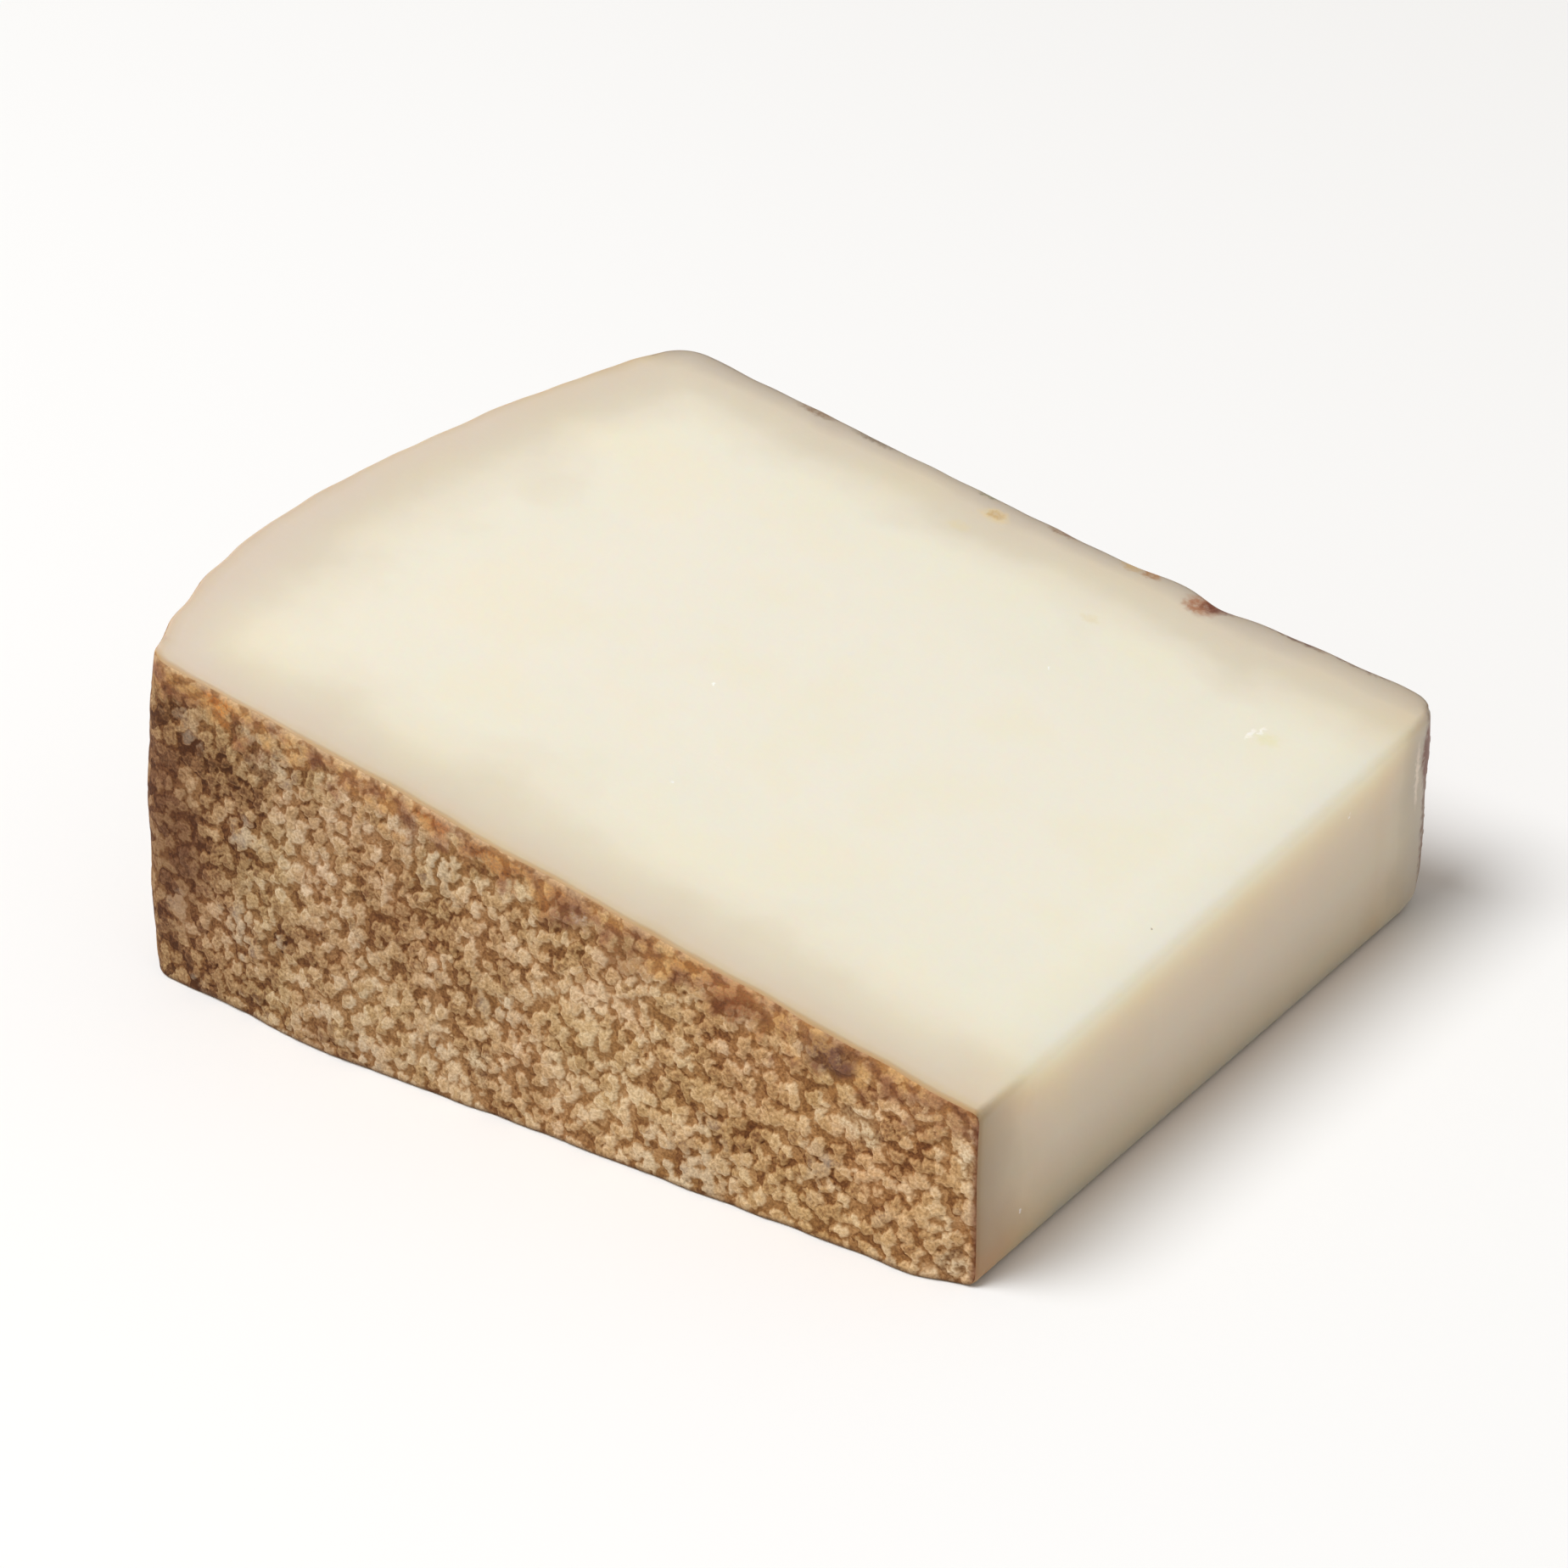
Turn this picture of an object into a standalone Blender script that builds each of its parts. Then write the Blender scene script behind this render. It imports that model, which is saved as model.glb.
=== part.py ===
"""A wedge of hard mountain cheese, cut from a big low wheel with a natural rind.

The wedge lies on one of its two radial cuts, so the axis of its wheel is level and
runs along Y. The wheel's rim is the heel, at -X. Its two broad faces stand upright,
at -Y and +Y, and its nose was cut off square, at +X. The upper cut slopes down to it.

Metres, +Z up. The origin is on the floor, under the middle of the wedge.
"""

import math

import bmesh
import bpy
from mathutils import Matrix, Vector, noise

MM = 0.001

# The wheel, from its axis out to its rim and from its front face to its back face.
WHEEL_RADIUS = 255 * MM
WHEEL_THICKNESS = 110.4 * MM
RIM_CREST = 39.3 * MM  # how far behind the front face the rim bulges most
RIM_FRONT_RADIUS = 81.8 * MM  # of the rim's arc from the crest to the front face
RIM_BACK_RADIUS = 235 * MM  # of its flatter arc from the crest to the back face
FRONT_SHOULDER_RADIUS = 4 * MM
BACK_SHOULDER_RADIUS = 6 * MM

# The knife's cuts.
NOSE_FROM_AXIS = 118 * MM  # the wheel's axis is this far beyond the cut-off nose
NOSE_HEIGHT = 23.4 * MM  # at the front face
WEDGE_ANGLE = math.radians(11.2)  # between the lower and the upper cut
SIDE_TILT = math.radians(2.5)  # the upper cut also climbs a little towards the back

# How the broad faces depart from flat, outwards.
FRONT_FOOT_BOW = 2.2 * MM  # along the front face's foot
FOOT_BOW_NOSE_END = 8 * MM  # the bow sets in this far from the nose
FOOT_BOW_HEEL_START = 92 * MM  # it starts to fade here
FOOT_BOW_HEEL_END = 126 * MM  # and is gone here
BACK_FLARE = 2.3 * MM  # of the back face, at the nose
BACK_FLARE_LENGTH = 45 * MM
KNOCK_LIP = 1.0 * MM  # a knock in the back face, with a raised lip beside it
KNOCK_LIP_PLACE = 38.5 * MM
KNOCK_DENT = 0.9 * MM
KNOCK_DENT_PLACE = 32 * MM
KNOCK_WIDTH = 4 * MM
WORN_FOOT_RADIUS = 4.5 * MM  # the back face's foot, rubbed round on the shelf
WORN_NOSE_RADIUS = 4 * MM  # and its upright edge at the nose
HEEL_SWELL = 0.9 * MM  # of the heel, half-way up

# The relief of the rind.
WAVE_LENGTH = 38 * MM  # slow hollows from the wooden shelf and the cloth
WAVE_HEIGHT = 0.5 * MM
PEBBLE_SIZE = 4.3 * MM  # crusty pebbles, in clusters of the finest grains
PEBBLE_HEIGHT = 1.1 * MM
RIND_SEED = Vector((3.1, 7.7, 1.9))

# The net of faces on the rind.
GRID = 1.8 * MM
SECTOR_MARGIN = math.radians(2.4)  # the turned sector reaches past both cuts
SECTOR_STEPS = 35
NOSE_MARGIN = 5 * MM

# Where the wedge lies.
NOSE_X = 68.8 * MM
AXIS_X = NOSE_X + NOSE_FROM_AXIS
FRONT_Y = -55.2 * MM
CUTTER_REACH = 90 * MM


def linear(hex_colour):
    """The linear RGBA of an sRGB hex colour."""
    channels = [int(hex_colour[i : i + 2], 16) / 255 for i in (1, 3, 5)]
    bent = [c / 12.92 if c <= 0.04045 else ((c + 0.055) / 1.055) ** 2.4 for c in channels]
    return (*bent, 1.0)


def make_material(name, hex_colour, roughness):
    material = bpy.data.materials.new(name)
    material.use_nodes = True
    shader = material.node_tree.nodes["Principled BSDF"]
    shader.inputs["Base Color"].default_value = linear(hex_colour)
    shader.inputs["Roughness"].default_value = roughness
    shader.inputs["Metallic"].default_value = 0.0
    material.diffuse_color = linear(hex_colour)
    return material


def smoothstep(start, end, value):
    t = min(max((value - start) / (end - start), 0.0), 1.0)
    return t * t * (3 - 2 * t)


def bump(value, middle, width):
    """A bell curve, 1 at its middle."""
    return math.exp(-(((value - middle) / width) ** 2))


def upper_cut(x, y):
    """The height of the upper cut's plane."""
    along = (AXIS_X - x) * math.tan(WEDGE_ANGLE)
    rise_at_front = NOSE_HEIGHT - NOSE_FROM_AXIS * math.tan(WEDGE_ANGLE)
    return along + rise_at_front + (y - FRONT_Y) * math.tan(SIDE_TILT)


def worn_off(distance, radius):
    """How much a rounded edge has lost, at a distance in from where it would be sharp."""
    short = radius - min(max(distance, 0), radius)
    return radius - math.sqrt(radius**2 - short**2)


def line_points(start, end):
    """Points a grid step apart from start up to, and without, end."""
    steps = max(1, round((end - start).length / GRID))
    return [start.lerp(end, i / steps) for i in range(steps)]


def arc_points(centre, radius, start, end):
    """Points a grid step apart on an arc, without its end. Angles are from outwards."""
    steps = max(3, round(abs(end - start) * radius / GRID))
    angles = [start + (end - start) * i / steps for i in range(steps)]
    return [centre + radius * Vector((math.cos(a), math.sin(a))) for a in angles]


def shoulder(rim_centre, rim_radius, face, radius):
    """The centre of the round that joins a broad face to the rim's arc.

    Also the angle, seen from either centre, at which it meets that arc.
    """
    side = 1 if face > rim_centre.y else -1
    depth = face - side * radius - rim_centre.y
    reach = math.sqrt((rim_radius - radius) ** 2 - depth**2)
    centre = Vector((rim_centre.x + reach, rim_centre.y + depth))
    return centre, math.atan2(depth, reach)


def wheel_section():
    """The outline of half the wheel's section, as points (from the axis, back from front).

    It leaves out the heart of the wheel, which the wedge doesn't reach.
    """
    inner = NOSE_FROM_AXIS - NOSE_MARGIN
    front_rim = Vector((WHEEL_RADIUS - RIM_FRONT_RADIUS, RIM_CREST))
    back_rim = Vector((WHEEL_RADIUS - RIM_BACK_RADIUS, RIM_CREST))
    front_round, front_turn = shoulder(front_rim, RIM_FRONT_RADIUS, 0, FRONT_SHOULDER_RADIUS)
    back_round, back_turn = shoulder(
        back_rim, RIM_BACK_RADIUS, WHEEL_THICKNESS, BACK_SHOULDER_RADIUS
    )
    quarter = math.pi / 2
    outline = line_points(Vector((inner, 0)), Vector((front_round.x, 0)))
    outline += arc_points(front_round, FRONT_SHOULDER_RADIUS, -quarter, front_turn)
    outline += arc_points(front_rim, RIM_FRONT_RADIUS, front_turn, 0)
    outline += arc_points(back_rim, RIM_BACK_RADIUS, 0, back_turn)
    outline += arc_points(back_round, BACK_SHOULDER_RADIUS, back_turn, quarter)
    outline += line_points(
        Vector((back_round.x, WHEEL_THICKNESS)), Vector((inner, WHEEL_THICKNESS))
    )
    outline.append(Vector((inner, WHEEL_THICKNESS)))
    return outline


def turned_sector(collection):
    """A sector of the wheel, a little wider than the wedge, with both its ends closed."""
    profile = bmesh.new()
    corners = [profile.verts.new((p.x, 0, p.y)) for p in wheel_section()]
    for i, corner in enumerate(corners):
        profile.edges.new((corner, corners[(i + 1) % len(corners)]))
    mesh = bpy.data.meshes.new("wheel_section")
    profile.to_mesh(mesh)
    profile.free()

    turned = bpy.data.objects.new("wheel_section", mesh)
    collection.objects.link(turned)
    # The section's own Z lies along the wheel's axis, and its X points to the heel.
    to_heel = Matrix(((-1, 0, 0), (0, 0, 1), (0, 1, 0))).to_4x4()
    place = Matrix.Translation((AXIS_X, FRONT_Y, 0))
    turned.matrix_world = place @ to_heel @ Matrix.Rotation(-SECTOR_MARGIN, 4, "Z")
    screw = turned.modifiers.new("Turn about the wheel's axis", "SCREW")
    screw.axis = "Z"
    screw.angle = WEDGE_ANGLE + SIDE_TILT + 2 * SECTOR_MARGIN
    screw.steps = SECTOR_STEPS
    screw.render_steps = SECTOR_STEPS

    bpy.context.view_layer.update()
    evaluated = turned.evaluated_get(bpy.context.evaluated_depsgraph_get())
    sector = bpy.data.meshes.new_from_object(evaluated)
    sector.transform(turned.matrix_world)
    bpy.data.objects.remove(turned)

    shape = bmesh.new()
    shape.from_mesh(sector)
    bmesh.ops.holes_fill(shape, edges=[e for e in shape.edges if e.is_boundary])
    bmesh.ops.recalc_face_normals(shape, faces=shape.faces)
    return shape, sector


def broad_face_bow(point):
    """How far the front or back face stands out of flat at a point, along its own side."""
    from_nose = NOSE_X - point.x
    height = max(point.z, 0)
    if point.y < 0:
        along = smoothstep(0, FOOT_BOW_NOSE_END, from_nose)
        along *= 1 - smoothstep(FOOT_BOW_HEEL_START, FOOT_BOW_HEEL_END, from_nose)
        return FRONT_FOOT_BOW * along * max(1 - height / upper_cut(point.x, point.y), 0)
    bow = BACK_FLARE * (1 - smoothstep(0, BACK_FLARE_LENGTH, from_nose))
    bow += KNOCK_LIP * bump(from_nose, KNOCK_LIP_PLACE, KNOCK_WIDTH)
    bow -= KNOCK_DENT * bump(from_nose, KNOCK_DENT_PLACE, KNOCK_WIDTH)
    bow -= worn_off(from_nose, WORN_NOSE_RADIUS)
    return bow - worn_off(height, WORN_FOOT_RADIUS)


def heel_swell(point):
    height = min(max(point.z / upper_cut(point.x, point.y), 0), 1)
    return HEEL_SWELL * math.sin(math.pi * height)


def rind_relief(point):
    """The height of the rind's slow waves and its pebbles."""
    wave = WAVE_HEIGHT * noise.noise(point / WAVE_LENGTH + RIND_SEED)
    distances, _ = noise.voronoi(point / PEBBLE_SIZE + RIND_SEED)
    pebble = 0.5 - distances[0]
    return wave + PEBBLE_HEIGHT * pebble


def raise_rind(shape):
    """Moves the rind's corners out of the true turned shape, along their normals."""
    shape.normal_update()
    moves = []
    for vert in shape.verts:
        point, normal = vert.co.copy(), vert.normal.copy()
        broad = abs(normal.y)
        offset = rind_relief(point)
        offset += broad * broad_face_bow(point)
        offset += (1 - broad) * heel_swell(point)
        moves.append((vert, normal * offset))
    for vert, move in moves:
        vert.co += move


def knife_block(collection, material):
    """What the knife leaves: the floor's cut, the upper cut and the nose's cut."""
    shape = bmesh.new()
    bmesh.ops.create_cube(shape, size=2 * CUTTER_REACH)
    bmesh.ops.translate(
        shape, vec=(NOSE_X - CUTTER_REACH, 0, CUTTER_REACH), verts=shape.verts
    )
    for vert in shape.verts:
        if vert.co.z > CUTTER_REACH:
            vert.co.z = upper_cut(vert.co.x, vert.co.y)
    mesh = bpy.data.meshes.new("knife_block")
    shape.to_mesh(mesh)
    shape.free()
    mesh.materials.append(material)
    block = bpy.data.objects.new("knife_block", mesh)
    block.hide_render = True
    block.display_type = "WIRE"
    collection.objects.link(block)
    return block


def cheese_wedge(parts, cutters):
    rind = make_material("Washed rind, dry and grainy", "#A27C58", 0.8)
    paste = make_material("Cut paste, ivory", "#EDE5D0", 0.45)
    block = knife_block(cutters, paste)

    shape, mesh = turned_sector(parts)
    raise_rind(shape)
    shape.to_mesh(mesh)
    shape.free()
    mesh.name = "cheese_wedge"
    mesh.materials.append(rind)
    mesh.shade_smooth()

    wedge = bpy.data.objects.new("cheese_wedge", mesh)
    parts.objects.link(wedge)
    cut = wedge.modifiers.new("Knife cuts", "BOOLEAN")
    cut.operation = "INTERSECT"
    cut.solver = "EXACT"
    cut.material_mode = "TRANSFER"
    cut.object = block
    return wedge


def main():
    for old in list(bpy.data.objects):
        bpy.data.objects.remove(old)
    parts = bpy.data.collections.new("Cheese wedge")
    cutters = bpy.data.collections.new("Cheese wedge cutters")
    for collection in (parts, cutters):
        bpy.context.scene.collection.children.link(collection)
    cheese_wedge(parts, cutters)


main()
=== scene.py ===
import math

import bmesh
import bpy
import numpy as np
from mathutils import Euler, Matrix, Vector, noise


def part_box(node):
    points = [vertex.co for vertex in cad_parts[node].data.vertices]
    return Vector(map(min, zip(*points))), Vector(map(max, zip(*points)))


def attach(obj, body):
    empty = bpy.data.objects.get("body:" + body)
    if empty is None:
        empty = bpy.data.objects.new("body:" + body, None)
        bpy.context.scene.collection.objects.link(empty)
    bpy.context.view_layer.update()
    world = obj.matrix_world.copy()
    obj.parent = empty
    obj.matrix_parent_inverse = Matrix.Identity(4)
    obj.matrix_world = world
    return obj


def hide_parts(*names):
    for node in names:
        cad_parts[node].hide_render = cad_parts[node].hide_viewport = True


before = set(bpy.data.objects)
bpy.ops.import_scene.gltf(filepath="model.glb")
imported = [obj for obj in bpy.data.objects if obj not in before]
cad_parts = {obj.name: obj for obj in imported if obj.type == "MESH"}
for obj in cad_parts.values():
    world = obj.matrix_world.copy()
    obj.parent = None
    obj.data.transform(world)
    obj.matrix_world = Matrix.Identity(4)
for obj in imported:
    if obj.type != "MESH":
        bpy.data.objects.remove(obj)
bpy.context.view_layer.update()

# The looks of a wedge of hard mountain cheese, lying on one of its two radial cuts.
#
# The wedge is one closed mesh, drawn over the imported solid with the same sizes. Its
# outline is drawn on the floor, stood up straight between the two cuts, and bent to the
# wheel's circles. Its rind gets its waves and lumps, its edges are rounded, and a
# modifier raises the grains. Lengths are in millimetres up to the mesh and the lights,
# which are in metres.

MM = 0.001
TINY = 1e-9  # keeps a division from dividing by nothing

# The wheel, from its axis out to its rim and from its front face to its back face.
WHEEL_RADIUS = 255
WHEEL_THICKNESS = 110.4
RIM_CREST = 39.3  # how far behind the front face the rim bulges most
RIM_FRONT_RADIUS = 81.8
RIM_BACK_RADIUS = 235
FRONT_SHOULDER_RADIUS = 4
BACK_SHOULDER_RADIUS = 6

# The knife's cuts.
NOSE_FROM_AXIS = 118
NOSE_HEIGHT = 23.4
WEDGE_ANGLE = math.radians(11.2)
SIDE_TILT = math.radians(2.5)

# Where the wedge lies: its nose is the solid's far side in +X.
NOSE_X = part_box("cheese_wedge")[1][0] / MM
AXIS_X = NOSE_X + NOSE_FROM_AXIS
FRONT_Y = -WHEEL_THICKNESS / 2
BACK_Y = WHEEL_THICKNESS / 2

# How the broad faces and the heel depart from flat, outwards. Places and lengths along
# a broad face start at the nose.
FRONT_FOOT_BOW = 2.2
FOOT_BOW_NOSE_END = 8
FOOT_BOW_HEEL_START = 92
FOOT_BOW_HEEL_END = 126
BACK_FLARE = 2.3
BACK_FLARE_LENGTH = 45
KNOCK_LIP = 1.0
KNOCK_LIP_PLACE = 38.5
KNOCK_DENT = 0.9
KNOCK_DENT_PLACE = 32
KNOCK_WIDTH = 4
HEEL_SWELL = 0.9

# The relief of the rind: slow waves, lumps, and the grains on top of them.
WAVE_LENGTH = 38
WAVE_HEIGHT = 0.5
LUMP_LENGTH = 6
LUMP_HEIGHT = 0.4
RIND_SEED = Vector((3.1, 7.7, 1.9))
RELIEF_REACH = 6  # under the rind, where the cuts' corners stop following it
GRAIN_SPACING = 2.0
GRAIN_DISORDER = 0.9  # from 0, where they stand in rows, to 1
GRAIN_REACH = 1.18  # from a grain's middle to its edge on average
GRAIN_RAGGEDNESS = 2.4  # how much that changes from place to place
GRAIN_FLANK = 0.6  # the width of a grain's sloping side
GRAIN_HEIGHT = 0.36
GRAIN_MEAN = 0.6  # the share of it that lies under the bare surface
GRAIN_WANDER = 2.4  # how far grains are pushed out of place
RIND_DEPTH = 0.02  # corners less deep than this are on the rind

# The grains come up to their height over these distances from the edges.
FROM_CUT = (0.1, 1.0)  # below the upper cut, to SMEARED_SHARE of it
FROM_SMEAR = (2, 5.5)  # and further below it, to all of it
SMEARED_SHARE = 0.4
FROM_FLOOR = (0.1, 1.2)
FROM_NOSE = (0.1, 1.0)
SHOULDER_WEAR = 0.85  # how much of their height they lost on the front shoulder
SHOULDER_WEAR_PLACE = WHEEL_RADIUS - 9  # on the rind unrolled flat
SHOULDER_WEAR_WIDTH = 10

# The roundings of the edges.
CUT_EDGE_RADIUS = 0.6  # where the knife left the rind
NOSE_TOP_RADIUS = 1.2
NOSE_FOOT_RADIUS = 1.6
WORN_FOOT_RADIUS = 6
WORN_NOSE_RADIUS = 4
WORN_FACING = (0.2, 0.9)  # how far backwards a place faces, from unworn to worn

# The mesh: the spacing of its corners, and how many rows climb from cut to cut.
FRONT_PITCH = 0.37
RIM_PITCH = 0.5
NOSE_PITCH = 2.2
ROWS = 92
ROW_CROWDING = 0.6
ROW_CROWD = 4
CUT_RINGS = (0.35, 0.45, 0.7, 0.9, 1.0)  # widths of the bands that follow the rind
NOSE_RINGS = (0.35, 0.45, 0.6, 0.8)  # and of those that follow the nose
CUT_GRID = 2.8
CUT_GRID_START = 5  # from the nose
CIRCLE_RUN = 100  # from the nose, where the rows have come to follow the wheel's circles
CIRCLE_ROUNDS = 3  # how often a corner's place on its circle is worked out anew

# The camera stands where the photograph was taken from.
CAMERA_PLACE = Vector((295.584, -417.883, 294.035))
CAMERA_AZIMUTH = math.radians(34.95)
CAMERA_ELEVATION = math.radians(28.06)
CAMERA_ROLL = math.radians(-0.36)
PICTURE_SIDE = 1848  # in pixels, as is the focal length
FOCAL_PIXELS = 5250
SENSOR = 36
CLIP_START = 0.01  # in metres

# How many waves the patterns of the rind and the paste have to a millimetre.
WANDER_WAVES = 0.7  # what pushes the grains out of place
KNOT_WAVES = 0.68  # what makes them ragged
MEAL_WAVES = 2.6  # the rind's mealy bloom
TEAR_WAVES = 0.4  # what tears the edges of its stains
BLOTCH_WAVES = 0.3  # the patches of its smear
SPORE_WAVES = 0.11  # its dusting of mould
SLOW_WAVES = 0.1  # its lighter and darker places
HUE_WAVES = 0.08  # its greener and pinker ones
CLOUD_WAVES = 0.06  # the creamier clouds in the paste
PORE_WAVES = 1.2  # its pores

# The colours of the rind, from the ground between its grains to the palest of them.
RIND_TONES = (
    (0.0, "#694223"),
    (0.2, "#8C613B"),
    (0.45, "#B28B5C"),
    (0.7, "#CBA678"),
    (1.0, "#DEC098"),
)
GROUND_LIGHTNESS = -0.465
GREY_TINT = "#EDF2FF"
GREEN_TINT = "#FDFFF9"
PINK_TINT = "#FFFAFA"
# Painted crevice shade: this darkens the ground between the grains.
CREVICE_SHADE_TINT = "#D3C0AC"  # by which the gaps between the grains are darkened
MOULD_DUST = "#D4C7B0"

# The rind's colours where the knife smeared it, red brown to orange, in patches.
WAX_TONES = (
    (0.0, "#744530"),
    (0.4, "#8E5B3B"),
    (0.5, "#B48356"),
    (0.58, "#CB9B60"),
    (1.0, "#D8AE77"),
)
WAX_COVER = 0.8
WAX_RAGGEDNESS = 20.0  # how far the smear's lower edge wanders at most

# The thin lines at the rind's edges, and its surface.
CUT_LINE = "#D2B48D"
NOSE_LINE = "#7A4634"
# A dark line at the rind's foot, painted contact shadow where it meets the floor.
FLOOR_CONTACT_SHADOW = "#5E412E"
EDGE_LINE_STRENGTH = 0.75
RIND_TEAR = 6.0  # how far the edges of its stains are torn
RIND_SHINE = 0.2
DRY_ROUGHNESS = 0.78
WAXY_ROUGHNESS = 0.5
MEAL_DEPTH = 0.3
MEAL_STRENGTH = 0.8

# Spans over which the rind changes: the value where a change begins, the one where it
# is complete, and, where those aren't 0 and 1, how strong it is at the two.
GRAIN_EDGE = (-0.05, 0.22)  # inside a grain's edge, for its colour
GRAIN_TOP = (0.3, 1.1)  # inside a grain's edge, for its duller top
WORN_GRAIN = (0.0, 1.0, 0.3, 1.0)  # the share of height left, for a grain's contrast
GREYING = (50.0, -40.0)  # along X
HEEL_DARKENING = (-16.0, -58.0)  # along X
PINKNESS = (0.36, 0.64)  # by a noise
DUSTING = (0.55, 0.68, 0.0, 0.4)  # by a noise
SMEAR = (16.5, 11.5)  # below the upper cut, once its edge has wandered
RIND_HOLD = (0.35, 0.6, 0.25, 1.0)  # by the meal, which holds a stain in patches
CUT_LINE_WAY = (60.0, 0.0, 0.0, 0.65)  # along X
CUT_LINE_WIDTH = (1.2, 0.2)  # below the upper cut
NOSE_LINE_WIDTH = (1.1, 0.2)  # from the nose
FLOOR_CONTACT_SHADOW_WIDTH = (1.0, 0.2)  # from the floor
SPECKS = (0.3, 0.7, 0.82, 1.18)  # by the meal

# The colour of the paste, by its depth under the rind.
PASTE_BY_DEPTH = (
    (0.0, "#C1A887"),
    (0.5, "#CDB797"),
    (1.0, "#D4C3A6"),
    (2.0, "#D9CBB5"),
    (4.0, "#DBD0BB"),
    (8.0, "#E1D9C3"),
    (12.0, "#E8E2CF"),
    (18.0, "#EBE7D6"),
    (35.0, "#EEE9D9"),
)

# How much darker its margins are away from the front, by the same depth.
REAR_TINTS = (
    (0.0, "#FFFFFF"),
    (2.0, "#FFFFFF"),
    (5.0, "#FBFAFA"),
    (8.0, "#F9F8F8"),
    (13.0, "#FCFBFB"),
    (20.0, "#FFFFFF"),
)

# Painted shade on the nose: lighter just under its top edge, darker and browner down
# towards its foot. By the distance down from its top edge, and up from its foot.
NOSE_TOP_PAINTED_SHADE = (
    (0.0, "#FFFDF7"),
    (1.0, "#FFFBF5"),
    (2.5, "#FDF5EB"),
    (4.0, "#F9F0E7"),
    (6.0, "#F5EDE6"),
    (9.0, "#F2EAE4"),
)
NOSE_FOOT_PAINTED_SHADE = (
    (0.0, "#FFE4C9"),
    (2.6, "#FEE2CC"),
    (5.0, "#F4E3D4"),
    (9.0, "#F2E6DE"),
    (12.0, "#F2EAE4"),
)

# The paste's other tints, the lines and crusts that it ends in, and its surface.
CREAMY_TINT = "#FFFEFA"
NEAR_NOSE_TINT = "#FEFCF9"
HEEL_PINK = "#E0D2CA"
FRONT_LINE = "#B08A4E"
# A dark line along the nose's foot, painted contact shadow where it meets the floor.
BACK_LINE = "#7C6650"
FOOT_CONTACT_SHADOW = "#7D6A54"
NOSE_CRUST = "#A3937A"
BACK_CRUST = "#A9A199"
CRUST_STRENGTH = 0.7
PASTE_TEAR = 1.8  # how far the edges of its stains are torn
FAT_IOR = 1.45
PASTE_ROUGHNESS = 0.5
GLOW_DEPTH = 25  # how far light goes into the paste
GLOW_DEPTH_AT_RIND = 0.6
GLOW_BY_COLOUR = (1.0, 0.75, 0.5)  # the share of it for red, green and blue light
PORE_DEPTH = 0.06
PORE_STRENGTH = 0.5

# Spans over which the paste changes, given as the rind's are.
MARGIN_WIDTHS = (0.3, 0.7, 0.75, 1.3)  # by the clouds
CREAMINESS = (0.48, 0.62)  # by the clouds
REARWARDS = (FRONT_Y + 15, FRONT_Y + 35)  # along Y
HEELWARDS = (-20.0, -45.0)  # along X
OFF_BACK_AT_HEEL = (50.0, 15.0)  # along Y
HEEL_MARGIN = (11.0, 1.5, 0.0, 0.28)  # by depth
FRONT_LINE_PLACE = (FRONT_Y + 2, FRONT_Y + 0.5, 0.0, 0.8)  # along Y
FRONT_LINE_WIDTH = (0.9, 0.1)  # by depth
AT_BACK = (BACK_Y - 8, BACK_Y - 3)  # along Y
BACK_LINE_WIDTH = (0.8, 0.1, 0.0, 0.6)  # by depth
CRUST_REACH = (0.0, 1.0, 4.5, 9.0)  # how deep the crust goes, from the back to the nose
CRUST_CORE = 0.3  # how deep it is at its strongest
ON_NOSE = (NOSE_X - 1.2, NOSE_X - 0.3)  # along X
NEAR_NOSE = (NOSE_X - 8, NOSE_X - 3)  # along X
OFF_BACK_AT_NOSE = (BACK_Y - 5, BACK_Y - 14)  # along Y
NOSE_FOOT = (12.0, 11.0)  # upwards
FOOT_CONTACT_SHADOW_WIDTH = (1.1, 0.3, 0.0, 0.55)  # upwards
PASTE_HOLD = (0.35, 0.55, 0.55, 1.0)  # by the pores, which hold a stain in patches
GLOW = (1.0, 18.0, GLOW_DEPTH_AT_RIND * MM, GLOW_DEPTH * MM)  # by depth

STAIN_EDGE = (1.0, 0.35)  # a stain's soft edge, as shares of its half-size

# The lamp: the way to it from the wedge, its distance and size in metres, and its power
# in watts. Then the room, and the paper that the wedge lies on.
KEY_WAY = Vector((-0.3, -0.4, 0.87))
KEY_DISTANCE = 3
KEY_SIZE = 2
KEY_POWER = 81
KEY_COLOUR = "#FAFCFF"
ROOM_LIGHT = 0.4
ROOM_COLOUR = "#FFF8F0"
PAPER_COLOUR = "#F6F6F5"
PAPER_ROUGHNESS = 0.9
PAPER_REACH = 3


def linear(hex_colour):
    """The linear RGBA of an sRGB hex colour."""
    channels = [int(hex_colour[i : i + 2], 16) / 255 for i in (1, 3, 5)]
    bent = [c / 12.92 if c <= 0.04045 else ((c + 0.055) / 1.055) ** 2.4 for c in channels]
    return (*bent, 1.0)


# ---------------------------------------------------------------- the wedge's outline


def draw_straight(shape, last, goal, pitch):
    """Draws a straight run of the outline on from its last corner."""
    way = Vector((*goal, 0)) - last.co
    steps = round(way.length / pitch)
    made = bmesh.ops.spin(
        shape, geom=[last], dvec=way / steps, axis=(0, 0, 1), angle=0, steps=steps
    )
    return made["geom_last"][0]


def draw_round(shape, last, centre, angle, pitch):
    """Draws an arc of the outline on from its last corner, about a centre."""
    centre = Vector((*centre, 0))
    steps = round(abs(angle) * (last.co - centre).length / pitch)
    made = bmesh.ops.spin(
        shape, geom=[last], cent=centre, axis=(0, 0, 1), angle=angle, steps=steps
    )
    return made["geom_last"][0]


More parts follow.
